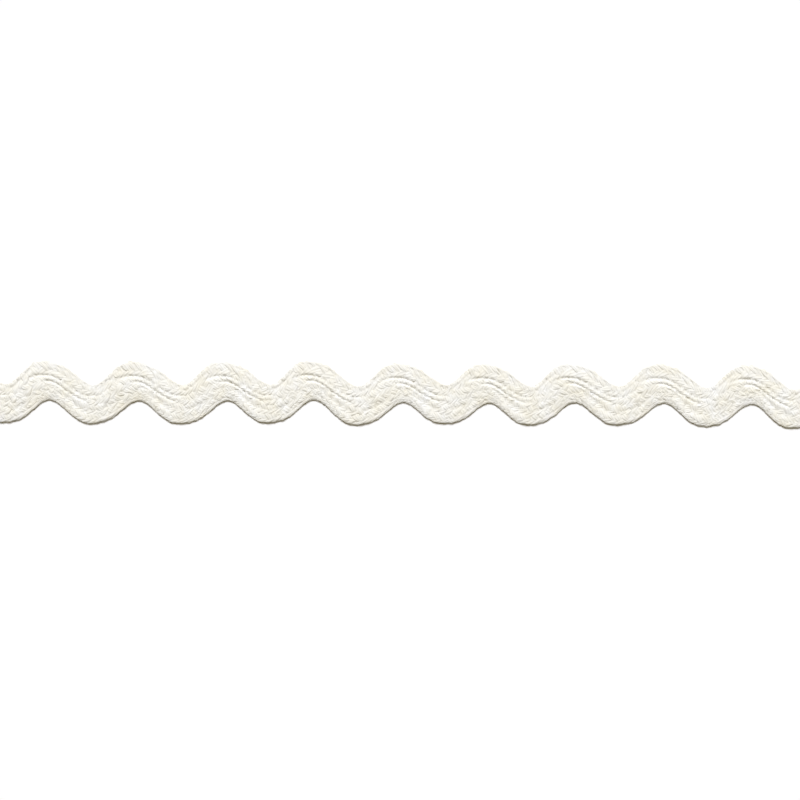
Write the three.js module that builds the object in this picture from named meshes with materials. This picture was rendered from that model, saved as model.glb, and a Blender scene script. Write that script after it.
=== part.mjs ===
// A cut length of ric rac: one narrow flat braid that runs in even waves, lying flat.
// Millimetres. +X runs along the length, +Y across it and +Z up, and the underside is at Z = 0.
import * as THREE from "three";

// The braid's own sizes. The width is measured along Y, so it is least where the braid turns, and
// it is greater on the rising side of each wave than on the falling side.
const HALF_WIDTH = 4.5;
const PINCH_AT_TURNS = 0.34;
const LEAN_OF_PINCH = 0.16;
const SPREAD_ON_RISE = 0.16;
const STEPS_PER_TURN = 10;

// Where the middle line turns, low and high in turn, from the left cut end to the right one.
const TURNS = [
  { along: -102.5, across: -2.0 },
  { along: -93.5, across: 2.9 },
  { along: -83.9, across: -1.8 },
  { along: -74.8, across: 3.0 },
  { along: -65.2, across: -2.0 },
  { along: -55.9, across: 2.8 },
  { along: -46.3, across: -2.0 },
  { along: -37.0, across: 2.8 },
  { along: -27.7, across: -1.9 },
  { along: -18.6, across: 3.0 },
  { along: -9.0, across: -2.3 },
  { along: 0.3, across: 2.4 },
  { along: 9.7, across: -2.0 },
  { along: 18.6, across: 2.3 },
  { along: 27.7, across: -2.3 },
  { along: 36.7, across: 2.4 },
  { along: 46.5, across: -2.3 },
  { along: 55.7, across: 2.3 },
  { along: 65.1, across: -2.6 },
  { along: 74.4, across: 2.1 },
  { along: 83.5, across: -3.0 },
  { along: 93.1, across: 1.9 },
  { along: 102.5, across: -2.8 },
];

// The cross-section, once round from the +Y edge over the top: the share of the half width that
// a point lies at, and its height. The braid is crowned on top and flat beneath.
const SECTION = [
  { share: 1.0, height: 0.4 },
  { share: 0.96, height: 0.7 },
  { share: 0.7, height: 0.95 },
  { share: 0.25, height: 1.1 },
  { share: -0.25, height: 1.1 },
  { share: -0.7, height: 0.95 },
  { share: -0.96, height: 0.7 },
  { share: -1.0, height: 0.4 },
  { share: -0.96, height: 0.12 },
  { share: -0.88, height: 0 },
  { share: 0.88, height: 0 },
  { share: 0.96, height: 0.12 },
];
const SECTION_MIDDLE = { share: 0, height: 0.5 };

// The place on the length at one step: the middle line eases from one turn to the next as half
// a cosine wave, and the half width swells on the slope between them.
function stationAt(step) {
  const turn = Math.min(Math.floor(step / STEPS_PER_TURN), TURNS.length - 2);
  const from = TURNS[turn];
  const to = TURNS[turn + 1];
  const eased = (Math.PI * (step - turn * STEPS_PER_TURN)) / STEPS_PER_TURN;
  const waist = PINCH_AT_TURNS * Math.cos(2 * eased) + LEAN_OF_PINCH * Math.sin(2 * eased);
  const spread = SPREAD_ON_RISE * Math.sin((Math.PI * step) / STEPS_PER_TURN);
  return {
    along: THREE.MathUtils.lerp(from.along, to.along, eased / Math.PI),
    across: THREE.MathUtils.lerp(from.across, to.across, (1 - Math.cos(eased)) / 2),
    halfWidth: HALF_WIDTH - waist + spread,
  };
}

// A closed cylinder, one ring for each step and one side for each point of the section, is laid
// along X: its own Y gives the step, and its angle gives the point of the section.
function braidGeometry() {
  const steps = (TURNS.length - 1) * STEPS_PER_TURN;
  const geometry = new THREE.CylinderGeometry(1, 1, steps, SECTION.length, steps);
  const places = geometry.getAttribute("position");
  for (let i = 0; i < places.count; i += 1) {
    const [x, y, z] = [places.getX(i), places.getY(i), places.getZ(i)];
    const side = Math.round((Math.atan2(x, z) / (2 * Math.PI)) * SECTION.length);
    const onAxis = Math.hypot(x, z) < 0.5;
    const corner = onAxis ? SECTION_MIDDLE : SECTION.at(side % SECTION.length);
    const station = stationAt(Math.round(y + steps / 2));
    places.setXYZ(i, station.along, station.across + corner.share * station.halfWidth, corner.height);
  }
  geometry.computeVertexNormals();
  return geometry;
}

const yarn = new THREE.MeshStandardMaterial({ color: 0xf1ebdd, roughness: 0.9, metalness: 0 });
const braid = new THREE.Mesh(braidGeometry(), yarn);
braid.name = "ric_rac";

// The part's origin is the middle of its outline, on the underside.
const middle = new THREE.Box3().setFromObject(braid).getCenter(new THREE.Vector3());
braid.geometry.translate(-middle.x, -middle.y, 0);

const group = new THREE.Group();
group.add(braid);
export default group;
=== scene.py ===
"""A cut length of cream ric rac lying flat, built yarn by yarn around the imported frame.

Ric rac is a flat braid of seventeen yarns. Each yarn crosses from one edge to the other and back
once in every wave, over two and under two of the yarns that it meets, and some of the yarns are
held tighter than the rest, which pulls the braid into waves. Here every yarn is a tube that
follows its own path through the braid. Lengths are in metres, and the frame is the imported
model's: +X along the length, +Y across it, +Z up, with the underside at Z = 0.
"""

import logging
import math
from dataclasses import dataclass, field
from enum import Enum
from typing import NamedTuple

import bmesh
import bpy
import numpy as np
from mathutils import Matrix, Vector


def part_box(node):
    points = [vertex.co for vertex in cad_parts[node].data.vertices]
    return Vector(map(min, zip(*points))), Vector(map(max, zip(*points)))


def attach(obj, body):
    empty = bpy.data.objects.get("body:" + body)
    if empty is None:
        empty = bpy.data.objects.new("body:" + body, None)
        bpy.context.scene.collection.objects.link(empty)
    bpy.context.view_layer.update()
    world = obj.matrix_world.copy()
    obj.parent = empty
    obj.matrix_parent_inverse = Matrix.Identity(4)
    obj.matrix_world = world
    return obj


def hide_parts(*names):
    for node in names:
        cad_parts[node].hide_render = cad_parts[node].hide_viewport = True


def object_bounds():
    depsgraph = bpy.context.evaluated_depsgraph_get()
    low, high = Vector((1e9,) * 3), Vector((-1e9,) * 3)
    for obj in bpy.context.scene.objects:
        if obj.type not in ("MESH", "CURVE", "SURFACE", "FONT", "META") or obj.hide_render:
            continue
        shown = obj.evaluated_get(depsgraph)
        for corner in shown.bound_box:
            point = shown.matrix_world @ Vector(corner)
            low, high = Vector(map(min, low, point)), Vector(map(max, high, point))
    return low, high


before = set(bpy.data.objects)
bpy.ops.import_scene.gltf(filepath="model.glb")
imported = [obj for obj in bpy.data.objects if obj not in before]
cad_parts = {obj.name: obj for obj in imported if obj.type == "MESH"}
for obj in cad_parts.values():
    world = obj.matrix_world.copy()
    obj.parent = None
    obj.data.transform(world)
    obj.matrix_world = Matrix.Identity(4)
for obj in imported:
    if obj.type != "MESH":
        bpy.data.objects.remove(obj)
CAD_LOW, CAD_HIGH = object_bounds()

log = logging.getLogger("ric_rac")

MM = 0.001
NODE = "ric_rac"
UV_MAP = "yarn"
# Points nearer than this, in metres, are taken as one
MERGE_DISTANCE = 1e-7
# A wave texture at a scale of one has about this many bands in each unit
BANDS_PER_UNIT = 3.2


class Turn(NamedTuple):
    """A place where the braid's middle line turns, in millimetres."""

    along: float
    across: float


# Low and high turns in turn, from the left cut end to the right one, as on the solid.
TURNS = (
    Turn(-102.5, -2.0),
    Turn(-93.5, 2.9),
    Turn(-83.9, -1.8),
    Turn(-74.8, 3.0),
    Turn(-65.2, -2.0),
    Turn(-55.9, 2.8),
    Turn(-46.3, -2.0),
    Turn(-37.0, 2.8),
    Turn(-27.7, -1.9),
    Turn(-18.6, 3.0),
    Turn(-9.0, -2.3),
    Turn(0.3, 2.4),
    Turn(9.7, -2.0),
    Turn(18.6, 2.3),
    Turn(27.7, -2.3),
    Turn(36.7, 2.4),
    Turn(46.5, -2.3),
    Turn(55.7, 2.3),
    Turn(65.1, -2.6),
    Turn(74.4, 2.1),
    Turn(83.5, -3.0),
    Turn(93.1, 1.9),
    Turn(102.5, -2.8),
)


class Furrow(NamedTuple):
    """A furrow that the tight yarns pull between two ribs, once in every wave.

    Its run is counted in turns from each crest. Its places across are at its start, halfway and at
    its end. They and its width are shares of the half width, and its depth is a share of the
    thickness.
    """

    starts: float
    ends: float
    share_at_start: float
    share_halfway: float
    share_at_end: float
    depth: float
    width: float


# First the wide shallow valleys below the middle, one on each wave's rising flank and one on its
# falling flank. Then the two long narrow furrows over the crest and down the falling flank, of
# which the upper one has two parts. Last the small furrows on both flanks.
FURROWS = (
    Furrow(-0.80, -0.24, -0.52, -0.54, -0.50, 0.22, 0.230),
    Furrow(0.20, 0.88, -0.42, -0.42, -0.42, 0.32, 0.200),
    Furrow(-0.50, 0.40, 0.47, 0.22, 0.17, 0.54, 0.045),
    Furrow(0.16, 1.06, 0.15, 0.20, 0.41, 0.36, 0.040),
    Furrow(-0.14, 0.88, -0.02, -0.14, 0.05, 0.74, 0.044),
    Furrow(1.08, 1.70, -0.34, -0.42, -0.54, 0.26, 0.080),
    Furrow(1.14, 1.84, -0.74, -0.82, -0.89, 0.22, 0.070),
    Furrow(0.10, 0.85, -0.30, -0.35, -0.31, 0.34, 0.045),
    Furrow(0.10, 1.00, 0.80, 0.82, 0.84, 0.20, 0.035),
    Furrow(0.96, 1.78, 0.66, 0.70, 0.72, 0.13, 0.060),
)


class CutEnd(Enum):
    """The two cut ends, each with the sign of its direction along X."""

    LEFT = -1
    RIGHT = 1


def linear(colour: str) -> tuple[float, float, float, float]:
    """Turns an sRGB hex colour to the linear colour that a shader takes.

    Args:
        colour: the colour as #RRGGBB.

    Returns:
        Red, green, blue and an alpha of one.
    """
    parts = [int(colour[i : i + 2], 16) / 255 for i in (1, 3, 5)]
    red, green, blue = (p / 12.92 if p <= 0.04045 else ((p + 0.055) / 1.055) ** 2.4 for p in parts)
    return red, green, blue, 1.0


def add_node(
    tree: bpy.types.NodeTree,
    kind: str,
    inputs: dict[str, object] | None = None,
    **settings: object,
) -> bpy.types.Node:
    """Adds a node with its settings, its fixed values and its links.

    Args:
        tree: the node tree that the node goes in.
        kind: the node's type, such as ShaderNodeBump.
        inputs: for each input's name, a value or the output socket to link.
        settings: the node's own properties.

    Returns:
        The new node.
    """
    node = tree.nodes.new(kind)
    for name, value in settings.items():
        setattr(node, name, value)
    for name, value in (inputs or {}).items():
        if isinstance(value, bpy.types.NodeSocket):
            tree.links.new(value, node.inputs[name])
        else:
            node.inputs[name].default_value = value
    return node


def new_material(name: str) -> tuple[bpy.types.Material, bpy.types.NodeTree]:
    """Makes an empty node material.

    Args:
        name: the material's name.

    Returns:
        The material and its node tree.
    """
    material = bpy.data.materials.new(name)
    material.use_nodes = True
    material.node_tree.nodes.clear()
    return material, material.node_tree


def places_of(mesh: bpy.types.Mesh) -> np.ndarray:
    """Reads the places of a mesh's vertices.

    Args:
        mesh: the mesh.

    Returns:
        One row of X, Y and Z for each vertex.
    """
    flat = np.empty(len(mesh.vertices) * 3, np.float32)
    mesh.vertices.foreach_get("co", flat)
    return flat.reshape(-1, 3).astype(float)


def move_vertices(mesh: bpy.types.Mesh, places: np.ndarray) -> None:
    """Puts a mesh's vertices at new places, one row of X, Y and Z for each."""
    mesh.vertices.foreach_set("co", places.astype(np.float32).ravel())


def add_object(name: str, mesh: bpy.types.Mesh) -> bpy.types.Object:
    """Links a mesh to the scene as an object at the origin.

    Args:
        name: the object's name.
        mesh: its mesh.

    Returns:
        The new object.
    """
    made = bpy.data.objects.new(name, mesh)
    bpy.context.scene.collection.objects.link(made)
    return made


@dataclass(frozen=True)
class CottonYarn:
    """Mercerised cotton braiding yarn, dyed cream: soft and matt, with plies that show close up."""

    name: str = "mercerised_cotton_braid_yarn"
    colour: str = "#F3F5FA"
    shade: str = "#ECE6D3"
    # Real plies are about 0.2 mm wide and the fluff is finer, too fine to show, so both are coarser
    ply_width_mm: float = 0.38
    ply_relief_mm: float = 0.095
    ply_lean: float = math.radians(18)
    fluff_size_mm: float = 0.3
    fluff_relief_mm: float = 0.035
    # The size of the UV map, at the scale that it has on the yarns' flattened tops
    girth_mm: float = 4.2
    length_mm: float = 250.0
    tone_size_mm: float = 3.6
    # The part of the noise's range that runs from the one colour to the other
    tone_low: float = 0.13
    tone_high: float = 0.87
    roughness: float = 0.82
    sheen: float = 0.25

    def build(self) -> bpy.types.Material:
        """Makes the material, whose plies wind round each yarn on the yarn's own UV map.

        Returns:
            The material.
        """
        material, tree = new_material(self.name)
        along_yarn = add_node(tree, "ShaderNodeUVMap", uv_map=UV_MAP)
        in_mm = add_node(
            tree,
            "ShaderNodeMapping",
            {"Vector": along_yarn.outputs["UV"], "Scale": (self.girth_mm, self.length_mm, 1.0)},
        )
        # The plies lean across the yarn, so the bands are turned by the twist's angle
        wound = add_node(
            tree,
            "ShaderNodeMapping",
            {"Vector": in_mm.outputs["Vector"], "Rotation": (0.0, 0.0, self.ply_lean)},
        )
        plies = add_node(
            tree,
            "ShaderNodeTexWave",
            {
                "Vector": wound.outputs["Vector"],
                "Scale": 1 / (self.ply_width_mm * BANDS_PER_UNIT),
                "Distortion": 1.2,
                "Detail": 2.0,
                "Detail Scale": 2.5,
            },
            wave_type="BANDS",
            bands_direction="X",
        )
        place = add_node(tree, "ShaderNodeTexCoord")
        tone = add_node(
            tree,
            "ShaderNodeTexNoise",
            {
                "Vector": place.outputs["Object"],
                "Scale": 1 / (self.tone_size_mm * MM),
                "Detail": 5.0,
                "Roughness": 0.7,
            },
        )
        uneven = add_node(
            tree,
            "ShaderNodeMapRange",
            {"Value": tone.outputs["Fac"], "From Min": self.tone_low, "From Max": self.tone_high},
        )
        colour = add_node(
            tree,
            "ShaderNodeMix",
            {"Factor": uneven.outputs["Result"], "A": linear(self.shade), "B": linear(self.colour)},
            data_type="RGBA",
        )
        fluff = add_node(
            tree,
            "ShaderNodeTexNoise",
            {
                "Vector": place.outputs["Object"],
                "Scale": 1 / (self.fluff_size_mm * MM),
                "Detail": 2.0,
                "Roughness": 0.65,
            },
        )
        fluffy = add_node(
            tree,
            "ShaderNodeBump",
            {
                "Height": fluff.outputs["Fac"],
                "Strength": 1.0,
                "Distance": self.fluff_relief_mm * MM,
            },
        )
        relief = add_node(
            tree,
            "ShaderNodeBump",
            {
                "Height": plies.outputs["Fac"],
                "Strength": 0.5,
                "Distance": self.ply_relief_mm * MM,
                "Normal": fluffy.outputs["Normal"],
            },
        )
        surface = add_node(
            tree,
            "ShaderNodeBsdfPrincipled",
            {
                "Base Color": colour.outputs["Result"],
                "Roughness": self.roughness,
                "Sheen Weight": self.sheen,
                "Sheen Roughness": 0.5,
                "Normal": relief.outputs["Normal"],
            },
        )
        add_node(tree, "ShaderNodeOutputMaterial", {"Surface": surface.outputs["BSDF"]})
        return material


@dataclass(frozen=True)
class BraidHeart:
    """The yarns' packed inside, seen only through chinks: the same cotton, dull, in a colour
    darkened as painted shade.
    """

    name: str = "packed_cotton_heart_painted_shade"
    # Both colours are the yarns' cream made darker: painted shade for the chinks between the yarns
    colour: str = "#D9D1BC"
    shade: str = "#C9C0A8"
    strand_mm: float = 0.7
    roughness: float = 0.95

    def build(self) -> bpy.types.Material:
        """Makes the material.

        Returns:
            The material.
        """
        material, tree = new_material(self.name)
        place = add_node(tree, "ShaderNodeTexCoord")
        strands = add_node(
            tree,
            "ShaderNodeTexNoise",
            {"Vector": place.outputs["Object"], "Scale": 1 / (self.strand_mm * MM), "Detail": 2.0},
        )
        colour = add_node(
            tree,
            "ShaderNodeMix",
            {"Factor": strands.outputs["Fac"], "A": linear(self.shade), "B": linear(self.colour)},
            data_type="RGBA",
        )
        surface = add_node(
            tree,
            "ShaderNodeBsdfPrincipled",
            {"Base Color": colour.outputs["Result"], "Roughness": self.roughness},
        )
        add_node(tree, "ShaderNodeOutputMaterial", {"Surface": surface.outputs["BSDF"]})
        return material


@dataclass(frozen=True)
class PaperFloor:
    """Uncoated white paper, pressed smooth: an even, matt white with no gloss."""

    name: str = "matt_white_paper"
    colour: str = "#FBFBFE"
    roughness: float = 0.9
    gloss: float = 0.1

    def build(self) -> bpy.types.Material:
        """Makes the material.

        Returns:
            The material.
        """
        material, tree = new_material(self.name)
        surface = add_node(
            tree,
            "ShaderNodeBsdfPrincipled",
            {
                "Base Color": linear(self.colour),
                "Roughness": self.roughness,
                "Specular IOR Level": self.gloss,
            },
        )
        add_node(tree, "ShaderNodeOutputMaterial", {"Surface": surface.outputs["BSDF"]})
        return material


@dataclass
class WaveForm:
    """The waves that the braid runs in, worked out from the table of its turns.

    A place along the braid is a turn number: whole at the turns, even at the low ones.
    """

    half_width: float = 4.5 * MM
    pinch_at_turns: float = 0.34 * MM
    lean_of_pinch: float = 0.16 * MM
    spread_on_rise: float = 0.16 * MM
    # How far the yarns near one edge are crowded on one flank of a wave and spread on the other
    crowding: float = 0.27
    # How far the ribs lie towards the lower edge, everywhere and more so at the crests
    sag: float = 0.19
    sag_at_crests: float = 0.09
    # How far a line straight across the braid turns with the slope, and how much less at its edges
    skew: float = 0.7
    skew_fade: float = 0.75
    # The half width at right angles to the braid's run
    square_half_width: float = 3.7 * MM
    outline_steps: int = 1000
    along: np.ndarray = field(init=False)
    across: np.ndarray = field(init=False)
    numbers: np.ndarray = field(init=False)
    shift: float = field(init=False, default=0.0)

    def __post_init__(self) -> None:
        """Adds a turn beyond each end, and centres the outline on the solid's box."""
        first, second, *_, before_last, last = TURNS
        before = Turn(2 * first.along - second.along, second.across)
        after = Turn(2 * last.along - before_last.along, before_last.across)
        turns = (before, *TURNS, after)
        self.along = np.array([turn.along for turn in turns]) * MM
        self.across = np.array([turn.across for turn in turns]) * MM
        self.numbers = np.arange(len(turns)) - 1.0
        steps = np.linspace(0, len(TURNS) - 1, self.outline_steps)
        top = (self.middle(steps) + self.half(steps)).max()
        bottom = (self.middle(steps) - self.half(steps)).min()
        low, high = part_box(NODE)
        self.shift = (low.y + high.y) / 2 - (top + bottom) / 2

    @property
    def mean_wave(self) -> float:
        """The mean length of one wave."""
        return (TURNS[-1].along - TURNS[0].along) * MM / (len(TURNS) - 1) * 2

    def easing(self, number: np.ndarray) -> tuple[np.ndarray, np.ndarray, np.ndarray]:
        """Splits places along the braid into the turn before and the share of the way to the next.

        Args:
            number: the places, as turn numbers.

        Returns:
            The index of the turn before, the share of the way, and the angle of the half wave.
        """
        before = np.clip(np.floor(number - self.numbers[0]).astype(int), 0, len(self.numbers) - 2)
        share = number - self.numbers[before]
        return before, share, math.pi * share

    def middle(self, number: np.ndarray) -> np.ndarray:
        """The braid's middle line.

        Args:
            number: the places along the braid, as turn numbers.

        Returns:
            The line's Y at each place.
        """
        before, _, angle = self.easing(number)
        rise = self.across[before + 1] - self.across[before]
        return self.across[before] + rise * (1 - np.cos(angle)) / 2 + self.shift

    def half(self, number: np.ndarray) -> np.ndarray:
        """The braid's half width along Y, least near the turns.

        Args:
            number: the places along the braid, as turn numbers.

        Returns:
            The half width at each place.
        """
        angle = math.pi * number
        waist = self.pinch_at_turns * np.cos(2 * angle) + self.lean_of_pinch * np.sin(2 * angle)
        return self.half_width - waist + self.spread_on_rise * np.sin(angle)

    def slope_sine(self, number: np.ndarray) -> np.ndarray:
        """The middle line's slope.

        Args:
            number: the places along the braid, as turn numbers.

        Returns:
            The sine of the slope's angle at each place.
        """
        before, _, angle = self.easing(number)
        rise = self.across[before + 1] - self.across[before]
        run = self.along[before + 1] - self.along[before]
        slope = rise / run * math.pi / 2 * np.sin(angle)
        return slope / np.sqrt(1 + slope**2)

    def point(self, number: np.ndarray, share: np.ndarray) -> tuple[np.ndarray, np.ndarray]:
        """Lays places of the straight braid into the waves.

        Args:
            number: the places along the braid, as turn numbers.
            share: the places across it, from -1 at the lower edge to 1 at the upper.

        Returns:
            X and Y of each place.
        """
        height = -np.cos(math.pi * number)
        share = share - (self.sag + self.sag_at_crests * height) * (1 - share**2)
        x = np.interp(number, self.numbers, self.along)
        x = x - self.crowding * share * self.mean_wave / (2 * math.pi) * height
        turned = share * (1 - self.skew_fade * share**2)
        x = x - self.skew * turned * self.square_half_width * self.slope_sine(number)
        there = np.interp(x, self.along, self.numbers)
        return x, self.middle(there) + share * self.half(there)


@dataclass
class Pressing:
    """The shape of the braid as a whole: firm edges, a crown, a rolled lower edge and furrows."""

    wave: WaveForm
    # How much thicker the middle is than the edges
    crown: float = 0.15
    # Beyond this share of the half width the turns are pressed to an even edge
    edge_starts: float = 0.9
    edge_gives: float = 0.2
    # How much further out the upper edge lies on the rising flank of each wave
    bulge_on_rise: float = 0.14 * MM
    # The lower edge is rolled down from this share of the half width, and less so at the low turns
    roll: float = 0.25
    roll_starts: float = 0.6
    roll_spared: float = 0.8

    def furrowed(self, number: np.ndarray, share: np.ndarray) -> np.ndarray:
        """How much the furrows thin the braid.

        Args:
            number: the places along the braid, as turn numbers.
            share: the places across it.

        Returns:
            The share of the thickness that is lost at each place.
        """
        lost = np.zeros(len(number))
        # The crests are the odd turns, so a furrow comes again every two turns
        for furrow in FURROWS:
            run = furrow.ends - furrow.starts
            gone = ((number - 1 - furrow.starts) % 2) / run
            shares = (furrow.share_at_start, furrow.share_halfway, furrow.share_at_end)
            line = np.interp(gone, (0, 0.5, 1), shares)
            along = np.sin(math.pi * np.clip(gone, 0, 1)) ** 0.5
            across = np.exp(-(((share - line) / furrow.width) ** 2))
            lost = np.maximum(lost, furrow.depth * along * across)
        return lost

    def press(self, places: np.ndarray) -> np.ndarray:
        """Presses the yarns' surfaces into the braid's own shape.

        Args:
            places: one row of X, Y and Z for each place.

        Returns:
            The rows after pressing.
        """
        x, y, z = places.T
        number = np.interp(x, self.wave.along, self.wave.numbers)
        middle, half = self.wave.middle(number), self.wave.half(number)
        share = (y - middle) / half
        beyond = np.maximum(np.abs(share) - self.edge_starts, 0)
        within = np.minimum(np.abs(share), self.edge_starts)
        share = np.sign(share) * (within + self.edge_gives * np.tanh(beyond / self.edge_gives))
        thinned = (1 - self.furrowed(number, share)) * (1 + self.crown * (1 - share**2))
        spared = self.roll_spared * np.maximum(np.cos(math.pi * number), 0) ** 2
        rolled = (np.maximum(-share - self.roll_starts, 0) / (1 - self.roll_starts)) ** 2
        thinned = thinned * (1 - self.roll * (1 - spared) * rolled)
        rising = np.maximum(np.sin(math.pi * number), 0)
        bulged = self.bulge_on_rise * (rising * np.maximum(share, 0)) ** 2
        return np.stack([x, middle + share * half + bulged, np.maximum(z, 0) * thinned], axis=1)


@dataclass
class Braid:
    """The seventeen yarns, each a tube along its own path, a few to a piece."""

    wave: WaveForm
    pressing: Pressing
    finish: CottonYarn
    yarns: int = 17
    yarns_per_piece: int = 3
    sides: int = 14
    rings_per_crossing: int = 5
    # How much of the spare half wave beyond each cut end is left out
    spare: float = 0.1
    thickness: float = 0.56 * MM
    middle_height: float = 0.46 * MM
    rise_of_float: float = 0.05 * MM
    # How wide a yarn is, as a share of the space to the next one beside it
    overlap: float = 1.5
    least_width: float = 0.6 * MM
    # How square the section is: 1 for an oval, less for a flatter top and bottom
    squareness: float = 0.65
    # Where a yarn's middle turns back, as a share of the half width
    reach: float = 0.922
    # How sharply it turns back: 1 for a point, less for a rounder turn
    sharpness_of_turn: float = 0.985
    # A yarn comes up from under to over within this many crossings of an edge
    change_at_edge: float = 1.5
    crossings_per_float: int = 2
    # The greater this is, the longer a float stays level before it dips
    firmness_of_float: float = 1.1
    # The part of a crossing over which a yarn's direction is taken
    direction_over: float = 0.25
    # How far the yarns stray from their even paths. Each stray is the mean of some small waves, and
    # their pace is in radians a turn.
    stray: float = 0.13 * MM
    waves_per_stray: int = 4
    slowest_wave: float = 5.0
    quickest_wave: float = 40.0
    # The most that a yarn is cut shorter than the longest at a cut end
    uneven_cut: float = 0.45 * MM
    seed: int = 7
    strays: np.ndarray = field(init=False)
    cuts: np.ndarray = field(init=False)

    def __post_init__(self) -> None:
        """Draws the small waves that each yarn strays by, and where it is cut at each end."""
        draw = np.random.default_rng(self.seed)
        # One set of waves for each yarn along each of X, Y and Z
        waves = (self.yarns, 3, self.waves_per_stray)
        pace = draw.uniform(self.slowest_wave, self.quickest_wave, waves)
        begin = draw.uniform(0.0, 2 * math.pi, waves)
        self.strays = np.stack([pace, begin])
        self.cuts = draw.uniform(0.0, self.uneven_cut, (self.yarns, len(CutEnd)))

    @property
    def crossings(self) -> int:
        """The crossings and edges that a yarn passes in one wave."""
        return 2 * self.yarns

    def across(self, cycle: np.ndarray) -> np.ndarray:
        """A yarn's place across the braid, a zigzag from edge to edge with rounded turns.

        Args:
            cycle: how many times the yarn has been across and back.

        Returns:
            The place, from -1 to 1 at the yarn's furthest.
        """
        swing = self.sharpness_of_turn * -np.cos(2 * math.pi * cycle)
        return np.arcsin(swing) / math.asin(self.sharpness_of_turn)

    def lift(self, cycle: np.ndarray) -> np.ndarray:
        """How far over or under the others a yarn lies: two over, two under, level at edges.

        Args:
            cycle: how many times the yarn has been across and back.

        Returns:
            1 where the yarn lies on top and -1 where it lies beneath.
        """
        crossing = self.crossings * (cycle % 1.0)
        edge, change = self.yarns, self.change_at_edge
        knots = [near + side for near in (0, edge, 2 * edge) for side in (-change, change)]
        floats = (edge - 2 * change) / self.crossings_per_float
        phases = [1, 2, 2 + floats, 3 + floats, 3 + 2 * floats, 4 + 2 * floats]
        swing = np.cos(math.pi * np.interp(crossing, knots, phases))
        return np.tanh(self.firmness_of_float * swing) / math.tanh(self.firmness_of_float)

    def centre(self, number: np.ndarray, yarn: np.ndarray) -> np.ndarray:
        """The yarns' middle lines.

        Args:
            number: the places along the braid, as turn numbers.
            yarn: the yarn's own number at each place.

        Returns:
            One row of X, Y and Z for each place.
        """
        cycle = number / 2 - yarn / self.yarns
        across = self.across(cycle)
        x, y = self.wave.point(number, across * self.reach)
        z = self.middle_height + self.rise_of_float * self.lift(cycle)
        pace, begin = self.strays[:, yarn.astype(int) % self.yarns]
        strayed = self.stray * np.sin(number[:, None, None] * pace + begin).mean(axis=2)
        return np.stack([x, y, z], axis=1) + strayed

    def tube(self, number: np.ndarray, yarn: np.ndarray, around: np.ndarray) -> np.ndarray:
        """The yarns' surfaces: an oval section that fills the space between the yarn's neighbours.

        Args:
            number: the places along the braid, as turn numbers.
            yarn: the yarn's own number at each place.
            around: the place round the section, from 0 to 1.

        Returns:
            One row of X, Y and Z for each place.
        """
        step = self.direction_over / self.crossings
        middle = self.centre(number, yarn)
        tangent = self.centre(number + step, yarn) - self.centre(number - step, yarn)
        tangent /= np.linalg.norm(tangent, axis=1)[:, None]
        side = np.stack([-tangent[:, 1], tangent[:, 0], np.zeros(len(tangent))], axis=1)
        side /= np.linalg.norm(side, axis=1)[:, None]
        up = np.cross(tangent, side)
        neighbour = self.centre(number + 2 / self.yarns, yarn + 1) - middle
        width = np.maximum(np.abs((neighbour * side).sum(axis=1)) * self.overlap, self.least_width)
        angle = 2 * math.pi * around
        sideways = np.sign(np.cos(angle)) * np.abs(np.cos(angle)) ** self.squareness
        wide = (width / 2 * sideways)[:, None] * side
        upward = np.sign(np.sin(angle)) * np.abs(np.sin(angle)) ** self.squareness
        thick = (self.thickness / 2 * upward)[:, None] * up
        return self.pressing.press(middle + wide + thick)

    def laid_yarn(self, yarn: int) -> bpy.types.Mesh:
        """Builds one yarn as a tube, longer than the braid and open at both ends.

        Args:
            yarn: the yarn's number.

        Returns:
            Its mesh, with the UV map that the plies follow.
        """
        low, high = self.wave.numbers[0] + self.spare, self.wave.numbers[-1] - self.spare
        rings = round((high - low) / 2 * self.crossings * self.rings_per_crossing)
        shape = bmesh.new()
        shape.loops.layers.uv.new(UV_MAP)
        bmesh.ops.create_grid(
            shape, x_segments=self.sides, y_segments=rings, size=0.5, calc_uvs=True
        )
        mesh = bpy.data.meshes.new(f"yarn_{yarn + 1}")
        shape.to_mesh(mesh)
        shape.free()
        flat = places_of(mesh)
        number = low + (flat[:, 1] + 0.5) * (high - low)
        move_vertices(mesh, self.tube(number, np.full(len(number), float(yarn)), flat[:, 0] + 0.5))
        return mesh

    def cut(self, shape: bmesh.types.BMesh, yarn: int) -> None:
        """Cuts one yarn off at both ends, each a little shorter or longer than the next yarn's.

        Args:
            shape: the yarn alone.
            yarn: the yarn's number.
        """
        for end, shorter in zip(CutEnd, self.cuts[yarn]):
            edge_of_solid = CAD_HIGH.x if end is CutEnd.RIGHT else CAD_LOW.x
            bmesh.ops.bisect_plane(
                shape,
                geom=[*shape.verts, *shape.edges, *shape.faces],
                dist=MERGE_DISTANCE,
                plane_co=(edge_of_solid - end.value * shorter, 0, 0),
                plane_no=(end.value, 0, 0),
                clear_outer=True,
            )
        rims = [edge for edge in shape.edges if edge.is_boundary]
        for edge in rims:
            edge.smooth = False
        bmesh.ops.holes_fill(shape, edges=rims, sides=0)

    def piece(self, name: str, members: range, material: bpy.types.Material) -> bpy.types.Object:
        """Builds some of the yarns as one piece.

        Args:
            name: the piece's name.
            members: the yarns' numbers.
            material: the yarns' finish.

        Returns:
            The piece.
        """
        whole = bmesh.new()
        for yarn in members:
            laid = self.laid_yarn(yarn)
            shape = bmesh.new()
            shape.from_mesh(laid)
            bmesh.ops.remove_doubles(shape, verts=shape.verts, dist=MERGE_DISTANCE)
            self.cut(shape, yarn)
            bmesh.ops.recalc_face_normals(shape, faces=shape.faces)
            shape.to_mesh(laid)
            shape.free()
            whole.from_mesh(laid)
            bpy.data.meshes.remove(laid)
        mesh = bpy.data.meshes.new(name)
        whole.to_mesh(mesh)
        whole.free()
        mesh.shade_smooth()
        mesh.materials.append(material)
        return add_object(name, mesh)

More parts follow.
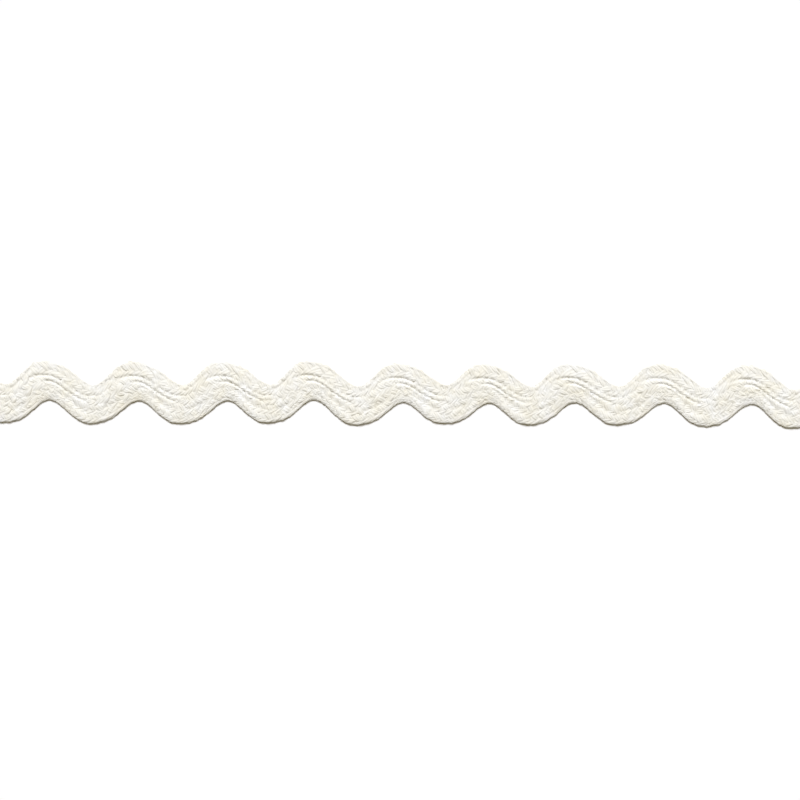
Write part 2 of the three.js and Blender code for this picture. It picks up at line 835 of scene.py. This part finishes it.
    def build(self) -> list[bpy.types.Object]:
        """Builds all the yarns.

        Returns:
            The pieces, with a few yarns in each.
        """
        material = self.finish.build()
        pieces = []
        for first in range(0, self.yarns, self.yarns_per_piece):
            members = range(first, min(first + self.yarns_per_piece, self.yarns))
            name = f"yarns_{members[0] + 1}_to_{members[-1] + 1}"
            pieces.append(self.piece(name, members, material))
            log.info("%s: %d faces", name, len(pieces[-1].data.polygons))
        return pieces


@dataclass
class Heart:
    """The braid's packed inside, a thin wavy sheet between the upper and the lower floats."""

    wave: WaveForm
    pressing: Pressing
    finish: BraidHeart
    name: str = "braid_heart"
    share_of_width: float = 0.86
    thickness: float = 0.15 * MM
    height: float = 0.36 * MM
    # How far the sheet stops short of each cut end
    inset: float = 0.8 * MM
    steps_per_turn: int = 14
    strips: int = 40

    def build(self) -> bpy.types.Object:
        """Builds the sheet as one closed shell.

        Returns:
            The piece.
        """
        steps = (len(TURNS) - 1) * self.steps_per_turn
        shape = bmesh.new()
        bmesh.ops.create_grid(shape, x_segments=steps, y_segments=self.strips, size=0.5)
        lift = bmesh.ops.extrude_face_region(shape, geom=shape.faces[:])
        raised = [item for item in lift["geom"] if isinstance(item, bmesh.types.BMVert)]
        bmesh.ops.translate(shape, verts=raised, vec=(0, 0, self.thickness))
        bmesh.ops.recalc_face_normals(shape, faces=shape.faces)
        mesh = bpy.data.meshes.new(self.name)
        shape.to_mesh(mesh)
        shape.free()
        flat = places_of(mesh)
        x = CAD_LOW.x + self.inset + (flat[:, 0] + 0.5) * (CAD_HIGH.x - CAD_LOW.x - 2 * self.inset)
        number = np.interp(x, self.wave.along, self.wave.numbers)
        reach = flat[:, 1] * 2 * self.share_of_width * self.wave.half(number)
        y = self.wave.middle(number) + reach
        move_vertices(mesh, self.pressing.press(np.stack([x, y, self.height + flat[:, 2]], axis=1)))
        mesh.shade_smooth()
        mesh.materials.append(self.finish.build())
        log.info("%s: %d faces", self.name, len(mesh.polygons))
        return add_object(self.name, mesh)


@dataclass
class Studio:
    """A white floor, an even light from beyond the upper edge, and a camera straight above."""

    picture_width: float = 170 * MM
    # The Y of the picture's middle, by the table of turns
    picture_middle_y: float = -1.28 * MM
    lens_mm: float = 150.0
    clip_near: float = 0.01
    clip_far: float = 20.0
    key_elevation: float = math.radians(53.5)
    # How far the key light stands towards the left, as a share of its distance
    key_to_left: float = 0.03
    key_spread: float = math.radians(26)
    key_strength: float = 3.66
    key_colour: str = "#F8FAFF"
    fill: float = 0.18
    fill_colour: str = "#FFEDB4"
    floor_size: float = 6.0

    def floor(self) -> bpy.types.Object:
        """Builds the floor.

        Returns:
            The floor, a flat square.
        """
        shape = bmesh.new()
        bmesh.ops.create_grid(shape, x_segments=1, y_segments=1, size=self.floor_size / 2)
        mesh = bpy.data.meshes.new("paper_floor")
        shape.to_mesh(mesh)
        shape.free()
        mesh.materials.append(PaperFloor().build())
        return add_object("paper_floor", mesh)

    def camera(self, shift: float) -> None:
        """Sets the camera.

        Args:
            shift: how far the braid's own Y is from the table of turns'.
        """
        data = bpy.data.cameras.new("camera")
        data.lens = self.lens_mm
        camera = bpy.data.objects.new("camera", data)
        height = self.picture_width * data.lens / data.sensor_width
        camera.location = (0, self.picture_middle_y + shift, height)
        data.clip_start, data.clip_end = self.clip_near, self.clip_far
        bpy.context.scene.collection.objects.link(camera)
        bpy.context.scene.camera = camera

    def lights(self) -> None:
        """Sets the key light and the even light all round."""
        data = bpy.data.lights.new("key", "SUN")
        data.angle = self.key_spread
        data.energy = self.key_strength
        data.color = linear(self.key_colour)[:3]
        key = bpy.data.objects.new("key", data)
        across, up = math.cos(self.key_elevation), math.sin(self.key_elevation)
        towards = Vector((-self.key_to_left, across, up)).normalized()
        key.location = towards
        key.rotation_euler = towards.to_track_quat("Z", "Y").to_euler()
        bpy.context.scene.collection.objects.link(key)
        world = bpy.data.worlds.new("even_white")
        world.use_nodes = True
        sky = world.node_tree.nodes["Background"]
        sky.inputs["Color"].default_value = linear(self.fill_colour)
        sky.inputs["Strength"].default_value = self.fill
        bpy.context.scene.world = world

    def build(self, shift: float) -> None:
        """Builds the floor, the lights and the camera.

        Args:
            shift: how far the braid's own Y is from the table of turns'.
        """
        self.floor()
        self.lights()
        self.camera(shift)
        bpy.context.scene.view_settings.view_transform = "Standard"


def main() -> None:
    wave = WaveForm()
    Studio().build(wave.shift)
    log.info("studio built")
    pressing = Pressing(wave)
    yarns = Braid(wave, pressing, CottonYarn()).build()
    heart = Heart(wave, pressing, BraidHeart()).build()
    for piece in (*yarns, heart):
        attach(piece, "root")
    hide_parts(NODE)


if __name__ == "__main__":
    logging.basicConfig(level=logging.INFO, format="%(name)s: %(message)s")
    main()
